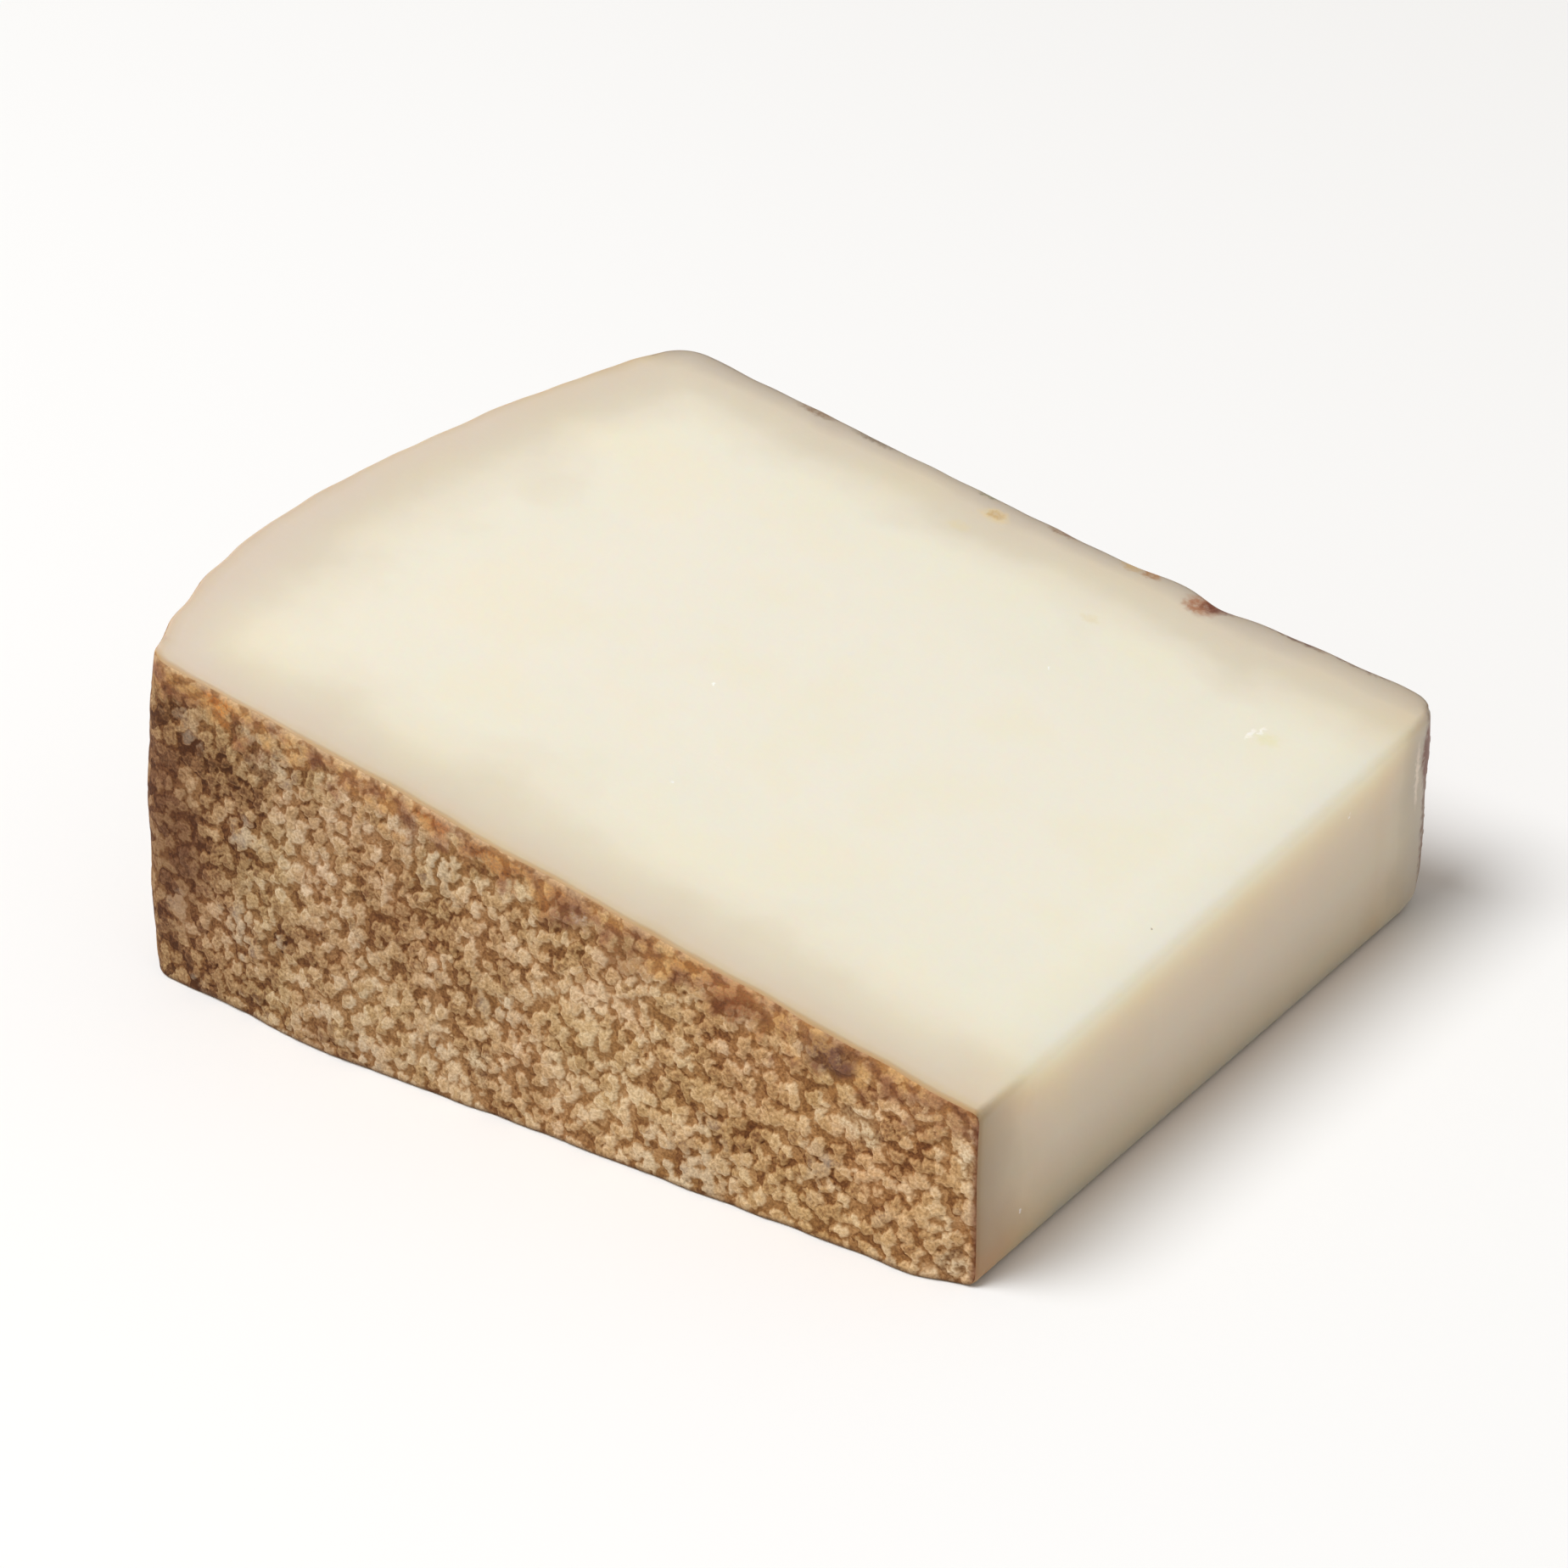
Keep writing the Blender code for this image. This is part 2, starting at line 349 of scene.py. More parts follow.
def shoulder(rim_radius, across, radius):
    """The round that joins a broad face to the rim's arc about its crest.

    Gives its centre (from the axis, behind the front face), and the angle, seen from
    either centre, at which the two arcs meet.
    """
    side = 1 if across > RIM_CREST else -1
    depth = across - side * radius - RIM_CREST
    reach = math.sqrt((rim_radius - radius) ** 2 - depth**2)
    return (WHEEL_RADIUS - rim_radius + reach, RIM_CREST + depth), math.atan2(depth, reach)


FRONT_ROUND, FRONT_TURN = shoulder(RIM_FRONT_RADIUS, 0, FRONT_SHOULDER_RADIUS)
BACK_ROUND, BACK_TURN = shoulder(RIM_BACK_RADIUS, WHEEL_THICKNESS, BACK_SHOULDER_RADIUS)


def on_floor(out, across):
    """A place on the floor from a place in the wheel's section."""
    return (AXIS_X - out, FRONT_Y + across)


def draw_rind_line(shape):
    """Draws the rind's line on the floor: the front face, the heel and the back face."""
    quarter = math.pi / 2
    start = bmesh.ops.create_vert(shape, co=(NOSE_X, FRONT_Y, 0))["vert"][0]
    last = draw_straight(shape, start, on_floor(FRONT_ROUND[0], 0), FRONT_PITCH)
    for centre, angle, pitch in (
        (FRONT_ROUND, -quarter - FRONT_TURN, FRONT_PITCH),
        ((WHEEL_RADIUS - RIM_FRONT_RADIUS, RIM_CREST), FRONT_TURN, RIM_PITCH),
        ((WHEEL_RADIUS - RIM_BACK_RADIUS, RIM_CREST), -BACK_TURN, RIM_PITCH),
        (BACK_ROUND, BACK_TURN - quarter, RIM_PITCH),
    ):
        last = draw_round(shape, last, on_floor(*centre), angle, pitch)
    draw_straight(shape, last, (NOSE_X, BACK_Y), RIM_PITCH)


def sink_ring(shape, line, width):
    """Widens the rind's line inwards by a band of faces. Gives the line's new edges."""
    made = bmesh.ops.extrude_edge_only(shape, edges=line)["geom"]
    for corner in made:
        if isinstance(corner, bmesh.types.BMVert):
            out, across = way_out(AXIS_X - corner.co.x, corner.co.y - FRONT_Y)
            corner.co += Vector((out, -across, 0)) * width
    return [part for part in made if isinstance(part, bmesh.types.BMEdge)]


def close_nose(shape, line):
    """Joins the two ends of the innermost line along the nose. Gives the edges it took."""
    ends = [corner for edge in line for corner in edge.verts if len(corner.link_edges) == 2]
    front_end, back_end = sorted(ends, key=lambda corner: corner.co.y)
    gap = Vector((0, front_end.co.y - back_end.co.y, 0))
    steps = round(gap.length / NOSE_PITCH)
    nearly = back_end.co + gap * (steps - 1) / steps
    last = draw_straight(shape, back_end, nearly.xy, NOSE_PITCH)
    bmesh.ops.contextual_create(shape, geom=[last, front_end])
    return [edge for edge in shape.edges if edge.is_wire]


def slice_face(shape, face, slices):
    """Slices a flat face at places along X or Y, so that it can be bent."""
    region = [face, *face.edges, *face.verts]
    for place, way in slices:
        made = bmesh.ops.bisect_plane(
            shape, geom=region, dist=0.001, plane_co=place, plane_no=way
        )
        region = made["geom"]


def floor_section(shape):
    """The wedge's outline on the floor, filled with faces that follow the rind."""
    draw_rind_line(shape)
    line = list(shape.edges)
    for width in CUT_RINGS:
        line = sink_ring(shape, line, width)
    loop = line + close_nose(shape, line)
    (middle,) = bmesh.ops.edgeloop_fill(shape, edges=loop)["faces"]
    inner = sum(CUT_RINGS)
    near_nose = NOSE_X - np.cumsum(NOSE_RINGS)
    columns = np.arange(NOSE_X - CUT_GRID_START, AXIS_X - WHEEL_RADIUS, -CUT_GRID)
    rows = np.arange(FRONT_Y + inner + CUT_GRID, BACK_Y - inner - CUT_GRID / 2, CUT_GRID)
    slices = [((x, 0, 0), (1, 0, 0)) for x in (*near_nose, *columns)]
    slices += [((0, y, 0), (0, 1, 0)) for y in rows]
    slice_face(shape, middle, slices)


def straight_prism():
    """The wedge's outline stood straight up as one closed mesh, 1 mm to each row."""
    shape = bmesh.new()
    floor_section(shape)
    made = bmesh.ops.extrude_face_region(shape, geom=shape.faces[:], use_keep_orig=True)
    raised = [part for part in made["geom"] if isinstance(part, bmesh.types.BMVert)]
    bmesh.ops.translate(shape, verts=raised, vec=(0, 0, ROWS))
    upright = [e for e in shape.edges if abs(e.verts[0].co.z - e.verts[1].co.z) > ROWS / 2]
    bmesh.ops.subdivide_edges(shape, edges=upright, cuts=ROWS - 1, use_grid_fill=True)
    bmesh.ops.recalc_face_normals(shape, faces=shape.faces)
    return shape


# ------------------------------------------------------------------ the wedge's form


def smoothstep(start, end, value):
    """A soft step, from 0 at its start to 1 at its end."""
    t = np.clip((value - start) / (end - start), 0, 1)
    return t * t * (3 - 2 * t)


def bump(value, middle, width):
    """A bell curve, 1 at its middle."""
    return np.exp(-(((value - middle) / width) ** 2))


def upper_cut(x, y):
    """The height of the upper cut's plane."""
    along = (AXIS_X - x) * math.tan(WEDGE_ANGLE)
    rise_at_front = NOSE_HEIGHT - NOSE_FROM_AXIS * math.tan(WEDGE_ANGLE)
    return along + rise_at_front + (y - FRONT_Y) * math.tan(SIDE_TILT)


def depth_under_rind(out, across):
    """How deep a place in the wheel's section lies under the rind."""
    front_rim = RIM_FRONT_RADIUS - np.hypot(
        out - WHEEL_RADIUS + RIM_FRONT_RADIUS, across - RIM_CREST
    )
    back_rim = RIM_BACK_RADIUS - np.hypot(
        out - WHEEL_RADIUS + RIM_BACK_RADIUS, across - RIM_CREST
    )
    rim = np.where(across < RIM_CREST, front_rim, back_rim)
    depth = np.minimum(np.minimum(across, WHEEL_THICKNESS - across), rim)
    for centre, radius, face_depth in (
        (FRONT_ROUND, FRONT_SHOULDER_RADIUS, across),
        (BACK_ROUND, BACK_SHOULDER_RADIUS, WHEEL_THICKNESS - across),
    ):
        in_shoulder = (face_depth < radius) & (rim < radius) & (out > centre[0])
        under_round = radius - np.hypot(out - centre[0], across - centre[1])
        depth = np.where(in_shoulder, under_round, depth)
    return depth


def way_out(out, across):
    """The direction, in the wheel's section, straight out to the rind."""
    step = 0.01
    by_out = depth_under_rind(out - step, across) - depth_under_rind(out + step, across)
    by_across = depth_under_rind(out, across - step) - depth_under_rind(out, across + step)
    length = np.maximum(np.hypot(by_out, by_across), TINY)
    return by_out / length, by_across / length


def broad_face_bow(x, y, z):
    """How far the front or back face stands out of flat, along its own side."""
    from_nose = NOSE_X - x
    along = smoothstep(0, FOOT_BOW_NOSE_END, from_nose)
    along *= 1 - smoothstep(FOOT_BOW_HEEL_START, FOOT_BOW_HEEL_END, from_nose)
    front = FRONT_FOOT_BOW * along * np.maximum(1 - z / upper_cut(x, y), 0)
    back = BACK_FLARE * (1 - smoothstep(0, BACK_FLARE_LENGTH, from_nose))
    back += KNOCK_LIP * bump(from_nose, KNOCK_LIP_PLACE, KNOCK_WIDTH)
    back -= KNOCK_DENT * bump(from_nose, KNOCK_DENT_PLACE, KNOCK_WIDTH)
    return np.where(y < 0, front, back)


def rind_relief(x, y, z):
    """The height of the rind's slow waves and its lumps."""
    heights = []
    for place in zip(x, y, z):
        place = Vector(place)
        wave = WAVE_HEIGHT * noise.noise(place / WAVE_LENGTH + RIND_SEED)
        heights.append(wave + LUMP_HEIGHT * noise.noise(place / LUMP_LENGTH + RIND_SEED))
    return np.array(heights)


def crowded_rows(rows):
    """How high each row climbs, from 0 to 1. They crowd at the cuts, for the round edges."""
    steps = np.arange(ROWS)
    widths = 1 - ROW_CROWDING * (bump(steps, 0, ROW_CROWD) + bump(steps, ROWS - 1, ROW_CROWD))
    heights = np.append(0, np.cumsum(widths)) / widths.sum()
    return np.interp(rows, np.arange(ROWS + 1), heights)


def soften(place, first, second, radius):
    """Rounds the edge between two sides of the wedge.

    A side is the depth of each corner below it and the direction out through it.
    """
    short_first = np.clip(radius - first[0], 0, None)
    short_second = np.clip(radius - second[0], 0, None)
    longest = np.maximum(short_first, short_second)
    length = np.hypot(short_first, short_second)
    share = (1 - longest / np.maximum(length, TINY)) * longest / radius
    place -= (share * short_first)[:, None] * first[1]
    place -= (share * short_second)[:, None] * second[1]


def form_wedge(corners):
    """Bends the straight prism's corners to the wedge. Gives also what finishes read.

    Those are the depth under the rind, the depth below the upper cut, and the place on
    the rind unrolled flat, from the nose round the heel and back.
    """
    x, y, rows = corners.T
    out, across = AXIS_X - x, y - FRONT_Y
    climb = crowded_rows(rows)
    depth = np.maximum(depth_under_rind(out, across), 0)
    out_way, across_way = way_out(out, across)

    def stand(out, across):
        """Stands a place of the section up between the cuts."""
        x, y = AXIS_X - out, FRONT_Y + across
        turned = smoothstep(NOSE_FROM_AXIS, NOSE_FROM_AXIS + CIRCLE_RUN, out)
        for _ in range(CIRCLE_ROUNDS):
            z = climb * upper_cut(x, y)
            circle = np.sqrt(out**2 - z**2)
            x = AXIS_X - (turned * circle + (1 - turned) * out)
        return x, y, climb * upper_cut(x, y)

    x, y, z = stand(out, across)
    broad = np.abs(across_way)
    offset = broad * broad_face_bow(x, y, z)
    offset += (1 - broad) * HEEL_SWELL * np.sin(math.pi * climb)
    near = depth < RELIEF_REACH
    offset[near] += rind_relief(x[near], y[near], z[near])
    offset *= 1 - smoothstep(0, RELIEF_REACH, depth)
    x, y, z = stand(out + out_way * offset, across + across_way * offset)

    place = np.stack((x, y, z), axis=1)
    rind_way = np.stack((-out_way, across_way, np.zeros_like(out)), axis=1)
    rind = (depth, rind_way)
    top = (upper_cut(x, y) - z, np.array((0, 0, 1)))
    floor = (z, np.array((0, 0, -1)))
    nose = (NOSE_X - x, np.array((1, 0, 0)))
    worn = smoothstep(*WORN_FACING, across_way)
    soften(place, nose, top, NOSE_TOP_RADIUS)
    soften(place, nose, floor, NOSE_FOOT_RADIUS)
    soften(place, rind, top, CUT_EDGE_RADIUS)
    soften(place, rind, floor, CUT_EDGE_RADIUS + (WORN_FOOT_RADIUS - CUT_EDGE_RADIUS) * worn)
    soften(place, rind, nose, CUT_EDGE_RADIUS + (WORN_NOSE_RADIUS - CUT_EDGE_RADIUS) * worn)
    way_round = across + np.where(across < RIM_CREST, out, 2 * WHEEL_RADIUS - out)
    unrolled = np.stack((way_round, place[:, 2], np.zeros_like(out)), axis=1)
    return place, depth, top[0], unrolled


def on_front(from_nose, height):
    """A place on the front face."""
    return (NOSE_X - from_nose, FRONT_Y, height)


def on_top(from_nose, from_front):
    """A place on the upper cut."""
    x, y = NOSE_X - from_nose, FRONT_Y + from_front
    return (x, y, upper_cut(x, y))


def on_nose(from_front, height):
    """A place on the nose."""
    return (NOSE_X, FRONT_Y + from_front, height)


# The stains and specks: place, half-size along X, Y and Z, colour and strength.
RIND_SPOTS = (
    (on_front(111.9, 43.7), (3.6, 4, 2.6), "#C77F36", 0.8),  # orange
    (on_front(77.9, 37.9), (4, 4, 2.5), "#B56F38", 0.6),  # yellow red
    (on_front(68, 35.8), (8, 4, 3), "#BA7D3A", 0.6),  # orange brown
    (on_front(60.6, 32.2), (3, 4, 2.5), "#B98045", 0.6),  # orange
    (on_front(57.3, 31.1), (5, 4, 3.2), "#7F5543", 0.75),  # purple brown
    (on_front(49.6, 28.1), (5, 4, 3.5), "#784B32", 0.4),  # dark brown
    (on_front(40.4, 30.0), (4, 4, 1.8), "#B67B3E", 0.6),  # orange
    (on_front(34.0, 26.4), (7, 4, 2.4), "#875430", 0.85),  # brown
    (on_front(33.9, 29), (7, 4, 2.5), "#A2623F", 0.6),  # reddish
    (on_front(20.2, 24.5), (5, 4, 3.3), "#684537", 0.9),  # purple
    (on_front(55.7, 30.7), (2, 3, 1.5), "#C0AB94", 0.7),  # grey mould
    (on_front(104.5, 37), (4, 4, 3), "#CEBB9B", 0.5),
    (on_front(81.7, 35), (4, 4, 3), "#C3AE94", 0.5),
    (on_front(71.3, 6.7), (3.5, 4, 3), "#D1C0A2", 0.6),
    (on_front(15.4, 16.9), (4, 4, 3.5), "#D1C2A2", 0.6),
    (on_front(1.1, 16.9), (2, 4, 5), "#DFCCAB", 0.7),
    (on_front(3, 2.8), (4, 4, 2.5), "#D7C5A6", 0.6),
    (on_front(122, 20.8), (8, 4, 18), "#6E4B38", 0.45),  # dark left end
    (on_front(94.5, 3.1), (8, 4, 3), "#72574A", 0.5),
)
PASTE_SPOTS = (
    (on_top(34.3, 108.5), (3.4, 3.1, 3), "#A5683F", 0.85),  # bruise
    (on_top(33.0, 109.1), (2.2, 1.9, 3), "#6E3723", 0.9),
    (on_top(31.4, 110.2), (1.8, 1.4, 3), "#7E5646", 1.0),
    (on_top(65.6, 106.2), (2.8, 2.3, 3), "#E2CE9C", 0.7),
    (on_top(65.6, 106.4), (1.7, 1.4, 3), "#C09A62", 0.6),
    (on_top(45.8, 109.6), (2.0, 1.4, 3), "#BFA172", 0.8),
    (on_top(42.9, 109.8), (1.9, 1.3, 3), "#A67A50", 0.9),
    (on_top(67.7, 100.4), (2.2, 1.6, 3), "#E0D2AC", 0.5),
    (on_top(43.3, 94.7), (1.8, 1.4, 3), "#E3D7B4", 0.5),
    (on_top(97.3, 109.7), (4, 1.2, 3), "#8C6F55", 0.8),  # the rind's edge at the back
    (on_top(87.5, 109.8), (5, 1.1, 3), "#857360", 0.8),
    (on_top(68.9, 109.8), (2, 0.9, 3), "#8A8468", 0.8),
    (on_top(57, 109.8), (3, 1.1, 3), "#8B6A50", 0.8),
    (on_top(22, 111.5), (7, 1.0, 4), "#6F4A3B", 0.8),
    (on_top(13, 112.3), (7, 1.0, 4), "#6F4A3B", 0.8),
    # a painted shadow cast by the lifted chip
    (on_top(12.6, 88.4), (2.2, 1.9, 2), "#E8E2B8", 0.5),  # under a lifted chip
    (on_top(14.9, 87.9), (0.4, 1.9, 2), "#FAF6EB", 1.0),  # the chip
    (on_top(14.2, 89.5), (0.35, 1.3, 2), "#FAF6EB", 1.0),
    (on_top(3.6, 44), (0.3, 0.3, 1), "#5A4A3A", 0.9),
    (on_top(69.8, 46.1), (0.4, 0.4, 1), "#FFFFFF", 0.9),  # crystals
    (on_top(41.4, 81.1), (0.35, 0.35, 1), "#FFFFFF", 0.9),
    (on_top(61.5, 25.7), (0.35, 0.35, 1), "#FFFFFF", 0.8),
    (on_nose(110.4, 12), (4, 2.2, 22), "#7A5943", 1.1),  # the rind's edge at the nose
    (on_nose(106.4, 20.6), (4, 0.8, 6), "#EADCCB", 1.0),  # a torn flap of rind
    (on_nose(109.9, 22.4), (6, 2.9, 6.0), "#7B4E3D", 1.6),
    (on_nose(87.5, 22.9), (1, 0.35, 0.35), "#FFFFFF", 0.8),
    (on_nose(9.3, 5.6), (1, 0.4, 0.4), "#FFFFFF", 0.8),
)


# ------------------------------------------------------------------------- materials

COVER = {"data_type": "RGBA"}  # a Mix node that lays one colour over another
TINT = {"data_type": "RGBA", "blend_type": "MULTIPLY"}  # and one that tints it
SOFT = {"interpolation_type": "SMOOTHSTEP"}  # a Map Range with a soft start and end


def add(tree, kind, inputs=(), **settings):
    """Adds a node with its settings and its inputs.

    The inputs are named, or listed in order. Each is a value, a socket, or a node,
    which stands for its first output.
    """
    node = tree.nodes.new(kind)
    for name, value in settings.items():
        setattr(node, name, value)
    sockets = [s for s in node.inputs if s.enabled]
    named = inputs.items() if isinstance(inputs, dict) else zip(sockets, inputs)
    for socket, source in named:
        if isinstance(socket, str):
            socket = next(s for s in sockets if s.name == socket)
        if isinstance(source, bpy.types.Node):
            source = next(s for s in source.outputs if s.enabled)
        if isinstance(source, bpy.types.NodeSocket):
            tree.links.new(source, socket)
        else:
            socket.default_value = source
    return node


def push_about(tree, place, push, reach):
    """Pushes a place about by the colour of a noise, for shapes that look torn."""
    way = "ShaderNodeVectorMath"
    centred = add(tree, way, [push.outputs["Color"], (0.5, 0.5, 0.5)], operation="SUBTRACT")
    shift = add(tree, way, {"Vector": centred, "Scale": reach}, operation="SCALE")
    return add(tree, way, [place, shift], operation="ADD")


def grain_pattern(tree, place, unrolled):
    """The rind's grains: their height from 0 to 1, and what else colours them.

    That is the cell round each grain's middle, and how far inside its edge a place is.
    Grains are ragged lumps about GRAIN_SPACING apart, which run together where they are
    big. They are drawn on the rind unrolled flat. The relief of the mesh and the colours
    of the rind both read this, so that they meet.
    """
    noise_kind = "ShaderNodeTexNoise"
    wander = add(tree, noise_kind, {"Vector": place, "Scale": WANDER_WAVES, "Detail": 2.0})
    warped = push_about(tree, unrolled, wander, GRAIN_WANDER)
    cells = {"Vector": warped, "Scale": 1 / GRAIN_SPACING, "Randomness": GRAIN_DISORDER}
    cell = add(tree, "ShaderNodeTexVoronoi", cells, feature="F1", voronoi_dimensions="2D")
    knots = add(tree, noise_kind, {"Vector": place, "Scale": KNOT_WAVES, "Detail": 1.0})
    sizes = [knots, GRAIN_RAGGEDNESS, GRAIN_REACH - GRAIN_RAGGEDNESS / 2]
    reach = add(tree, "ShaderNodeMath", sizes, operation="MULTIPLY_ADD")
    to_middle = add(tree, "ShaderNodeMath", [cell, GRAIN_SPACING], operation="MULTIPLY")
    inside = add(tree, "ShaderNodeMath", [reach, to_middle], operation="SUBTRACT")
    height = add(tree, "ShaderNodeMapRange", [inside, 0.0, GRAIN_FLANK], **SOFT)
    return height, cell, inside


def grain_relief():
    """A geometry modifier that raises the grains out of the rind."""
    tree = bpy.data.node_groups.new("Grains of the rind", "GeometryNodeTree")
    for direction in ("INPUT", "OUTPUT"):
        tree.interface.new_socket("Geometry", in_out=direction, socket_type="NodeSocketGeometry")
    read = "GeometryNodeInputNamedAttribute"
    place = add(tree, read, {"Name": "bare_place"}, data_type="FLOAT_VECTOR")
    unrolled = add(tree, read, {"Name": "unrolled"}, data_type="FLOAT_VECTOR")
    rind = add(tree, read, {"Name": "rind"}, data_type="FLOAT")
    height = grain_pattern(tree, place, unrolled)[0]
    about_mean = add(tree, "ShaderNodeMath", [height, GRAIN_MEAN], operation="SUBTRACT")
    masked = add(tree, "ShaderNodeMath", [about_mean, rind], operation="MULTIPLY")
    raised = add(tree, "ShaderNodeMath", [masked, GRAIN_HEIGHT * MM], operation="MULTIPLY")
    outwards = {"Vector": add(tree, "GeometryNodeInputNormal"), "Scale": raised}
    offset = add(tree, "ShaderNodeVectorMath", outwards, operation="SCALE")
    start = add(tree, "NodeGroupInput")
    moved = add(tree, "GeometryNodeSetPosition", {"Geometry": start, "Offset": offset})
    add(tree, "NodeGroupOutput", {"Geometry": moved})
    return tree


def bare_material(name):
    """A material with no nodes yet, and its tree."""
    material = bpy.data.materials.new(name)
    material.use_nodes = True
    material.node_tree.nodes.clear()
    return material, material.node_tree


def stain(tree, colour, place, spot, hold):
    """Lays a soft spot of another colour over a colour, where the ground holds it."""
    centre, size, tint, strength = spot
    offset = add(tree, "ShaderNodeVectorMath", [place, centre], operation="SUBTRACT")
    shrink = tuple(1 / s for s in size)
    scaled = add(tree, "ShaderNodeVectorMath", [offset, shrink], operation="MULTIPLY")
    radius = add(tree, "ShaderNodeVectorMath", [scaled], operation="LENGTH")
    mask = add(tree, "ShaderNodeMapRange", [radius, *STAIN_EDGE, 0.0, strength], **SOFT)
    held = add(tree, "ShaderNodeMath", [mask, hold], operation="MULTIPLY")
    return add(tree, "ShaderNodeMix", [held, colour, linear(tint)], **COVER)


def colour_by(tree, value, stops):
    """The colour at a value, between stops of (value, sRGB colour), the first at 0."""
    reach = stops[-1][0]
    share = add(tree, "ShaderNodeMath", [value, 1 / reach], operation="MULTIPLY")
    ramp = add(tree, "ShaderNodeValToRGB", [share])
    elements = ramp.color_ramp.elements
    while len(elements) < len(stops):
        elements.new(0.5)
    for element, (stop, hex_colour) in zip(elements, stops):
        element.position = stop / reach
        element.color = linear(hex_colour)
    return ramp.outputs["Color"]


def grain_colours(tree, place, x, cell, inside, meal):
    """The rind's colour before its stains, and where it is grain and not ground."""
    raised = add(tree, "ShaderNodeAttribute", attribute_name="rind").outputs["Fac"]
    kept = add(tree, "ShaderNodeMapRange", [raised, *WORN_GRAIN])
    on_grain = add(tree, "ShaderNodeMapRange", [inside, *GRAIN_EDGE])
    grain = add(tree, "ShaderNodeMath", [on_grain, kept], operation="MULTIPLY")
    flat_top = add(tree, "ShaderNodeMapRange", [inside, *GRAIN_TOP])
    top = add(tree, "ShaderNodeMath", [flat_top, kept], operation="MULTIPLY")
    tone = add(tree, "ShaderNodeSeparateColor", [cell.outputs["Color"]])
    slow = add(tree, "ShaderNodeTexNoise", {"Vector": place, "Scale": SLOW_WAVES, "Detail": 4.0})
    greyed = add(tree, "ShaderNodeMapRange", [x, *GREYING])
    heelwards = add(tree, "ShaderNodeMapRange", [x, *HEEL_DARKENING])

    # How light each place is: the grains on their ground, each with its own tone, a pale
    # rim and a duller top, mealy all over, and darker in places and towards the heel.
    level = GROUND_LIGHTNESS
    for source, weight in (
        (grain, 0.32),
        (tone, 0.5),
        (top, -0.28),
        (meal, 0.6),
        (slow, 0.8),
        (greyed, 0.05),
        (heelwards, -0.37),
    ):
        level = add(tree, "ShaderNodeMath", [source, weight, level], operation="MULTIPLY_ADD")
    colour = colour_by(tree, level, RIND_TONES)
    colour = add(tree, "ShaderNodeMix", [greyed, colour, linear(GREY_TINT)], **TINT)

    # In some places it is greener, in others pinker.
    hue = add(tree, "ShaderNodeTexNoise", {"Vector": place, "Scale": HUE_WAVES, "Detail": 3.0})
    pinker = add(tree, "ShaderNodeMapRange", [hue, *PINKNESS])
    tint = add(tree, "ShaderNodeMix", [pinker, linear(GREEN_TINT), linear(PINK_TINT)], **COVER)
    return add(tree, "ShaderNodeMix", [1.0, colour, tint], **TINT), grain


